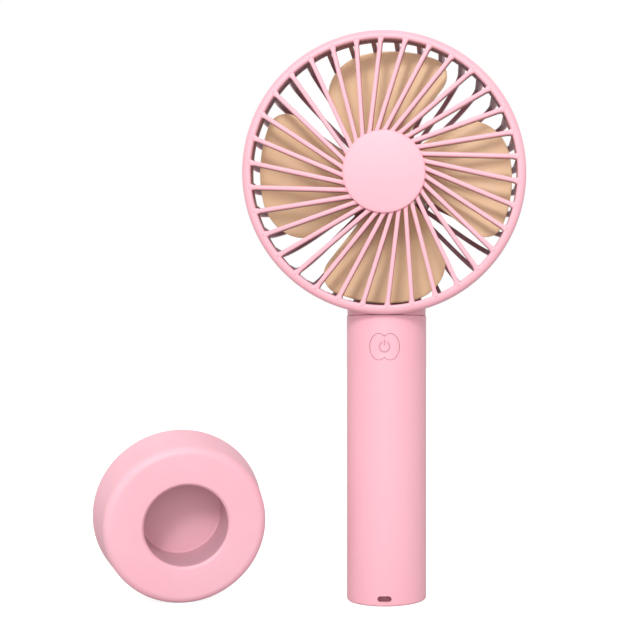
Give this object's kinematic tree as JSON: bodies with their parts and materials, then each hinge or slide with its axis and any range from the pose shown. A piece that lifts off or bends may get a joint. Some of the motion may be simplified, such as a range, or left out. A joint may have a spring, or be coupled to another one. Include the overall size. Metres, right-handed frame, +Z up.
{
  "type": "handheld electric fan",
  "caption": "Battery fan with a round caged head of slanted spokes, broad blades and a tubular handle with a push button, and the loose desk base its handle stands in.",
  "frame": {"origin": "middle of the handle's foot, on the surface that the fan stands on", "axes": "+Z up along the handle, the front of the fan faces -Y, +X to the viewer's right"},
  "size_m": [0.1628, 0.0434, 0.211],
  "materials": {
    "pink_shell": "satin moulded ABS, pale pink",
    "pink_button": "satin moulded ABS, pale pink",
    "pink_base": "satin moulded ABS, pale pink",
    "tan_blade": "satin moulded plastic, tan",
    "motor_steel": "plated drawn steel",
    "core_steel": "stacked core sheets",
    "ferrite": "ground ferrite",
    "bronze": "sintered bronze",
    "copper": "bare copper",
    "white_nylon": "natural nylon",
    "black_plastic": "moulded black plastic",
    "board_green": "green solder mask",
    "cell_sleeve": "shrink sleeve",
    "insulator_paper": "insulating paper",
    "lead_red": "soft lead insulation",
    "lead_black": "soft lead insulation",
    "screw_steel": "zinc plated steel",
    "pad_rubber": "soft rubber pad"
  },
  "bodies": {
    "fan_body": {"front_grille": "pink_shell", "hub_cap": "pink_shell", "rear_guard": "pink_shell", "motor_can": "motor_steel", "motor_end_cap": "white_nylon", "motor_magnets": "ferrite", "front_bush": "bronze", "rear_bush": "bronze", "motor_brushes": "copper", "motor_terminals": "bronze", "motor_keeper": "white_nylon", "motor_screws": "screw_steel", "neck_screws": "screw_steel", "handle_tube": "pink_shell", "foot_cap": "pink_shell", "foot_screws": "screw_steel", "tact_switch": "black_plastic", "control_board": "board_green", "control_chips": "black_plastic", "board_screws": "screw_steel", "charge_board": "board_green", "charge_chips": "black_plastic", "usb_shell": "motor_steel", "usb_tongue": "black_plastic", "battery_sled": "white_nylon", "battery_cell": "cell_sleeve", "cell_insulator": "insulator_paper", "cell_tabs": "screw_steel", "motor_leads": "lead_red", "battery_leads": "lead_black", "board_leads": "lead_black"},
    "rotor": {"impeller": "tan_blade", "motor_shaft": "motor_steel", "armature_core": "core_steel", "armature_windings": "copper", "commutator": "copper"},
    "button": {"power_button": "pink_button", "switch_plunger": "black_plastic"},
    "desk_base": {"base_shell": "pink_base", "base_plate": "pink_base", "base_pads": "pad_rubber", "base_screws": "screw_steel"}
  },
  "joints": [
    {"name": "rotor_spin", "type": "hinge", "parent": "fan_body", "child": "rotor", "pos_m": [0, 0, 0.1591], "axis": [0, -1, 0], "continuous": true},
    {"name": "button_press", "type": "slide", "parent": "fan_body", "child": "button", "axis": [0, 1, 0], "range_m": [0, 0.0005], "stiffness_N_per_m": 1600, "springref_m": -0.0005},
    {"name": "base_tip", "type": "hinge", "parent": "fan_body", "child": "desk_base", "pos_m": [-0.082, 0.012, 0.0008], "axis": [-0.9397, -0.342, 0], "range_deg": [0, 96.5]}
  ]
}
